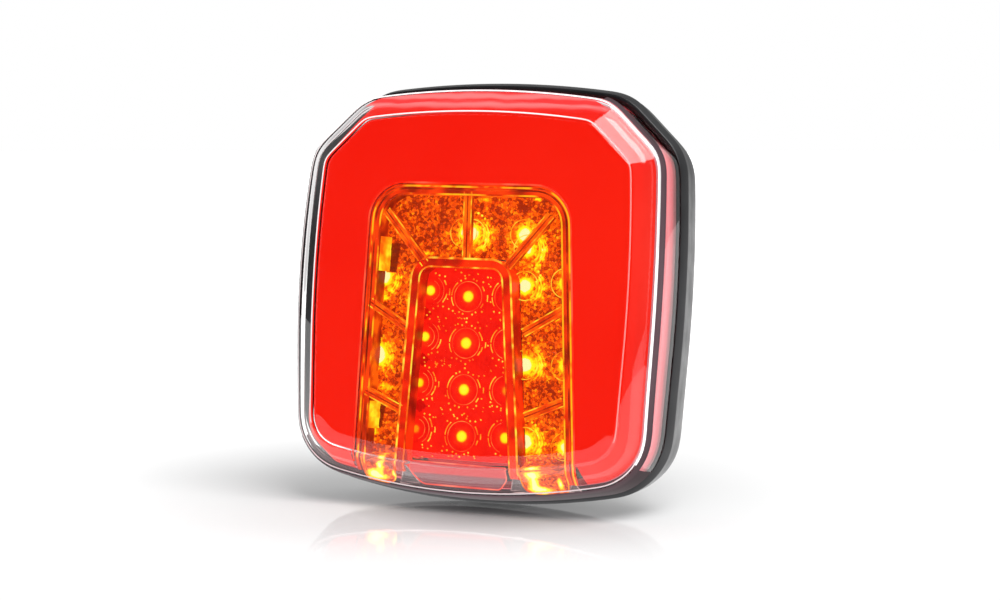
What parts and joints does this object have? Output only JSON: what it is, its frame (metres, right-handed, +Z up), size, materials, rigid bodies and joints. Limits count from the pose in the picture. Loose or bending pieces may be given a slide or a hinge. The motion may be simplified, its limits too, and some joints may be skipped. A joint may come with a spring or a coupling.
{
  "type": "trailer tail light",
  "caption": "Square rear combination lamp for a trailer: glowing red tail ring, amber indicator arch, red brake panel, two rear studs.",
  "frame": {"origin": "middle of the mounting plane, on the back of the rear gasket, midway between the two studs", "axes": "+Y into the vehicle along the studs, +Z up, +X to the right of a viewer facing the lens"},
  "size_m": [0.0984, 0.0491, 0.1022],
  "materials": {
    "clear_lens": "gloss",
    "seal_bead": "satin",
    "black_plastic": "satin",
    "rubber": "matte",
    "zinc_steel": "satin",
    "resin": "gloss",
    "board_green": "satin",
    "red_diffuser": "gloss",
    "clear_plastic": "gloss",
    "white_plastic": "matte",
    "amber_plastic": "gloss",
    "red_plastic": "gloss",
    "mirror_coat": "gloss",
    "grey_plastic": "matte",
    "led_white": "satin",
    "led_glow": "gloss",
    "chip_black": "matte",
    "solder": "satin",
    "can_aluminium": "satin"
  },
  "bodies": {
    "root": {"outer_lens": "clear_lens", "lens_seal": "seal_bead", "rear_housing": "black_plastic", "rear_gasket": "rubber", "mounting_studs": "zinc_steel", "cable_grommet": "rubber", "cable_potting": "resin", "circuit_board": "board_green", "board_screws": "zinc_steel", "brake_leds": "led_white", "indicator_leds": "led_white", "tail_leds": "led_white", "led_resin_drops": "led_glow", "resistors": "chip_black", "driver_chips": "chip_black", "protection_diodes": "chip_black", "surge_capacitors": "can_aluminium", "wire_pads": "solder", "tail_diffuser": "red_diffuser", "tail_light_guide": "clear_plastic", "tail_reflector": "white_plastic", "indicator_lens": "amber_plastic", "indicator_dividers": "amber_plastic", "indicator_reflector": "mirror_coat", "indicator_collimators": "clear_plastic", "brake_lens": "red_plastic", "brake_frame": "red_plastic", "brake_reflector": "mirror_coat", "brake_collimators": "clear_plastic", "inner_bezel": "grey_plastic"}
  },
  "joints": []
}
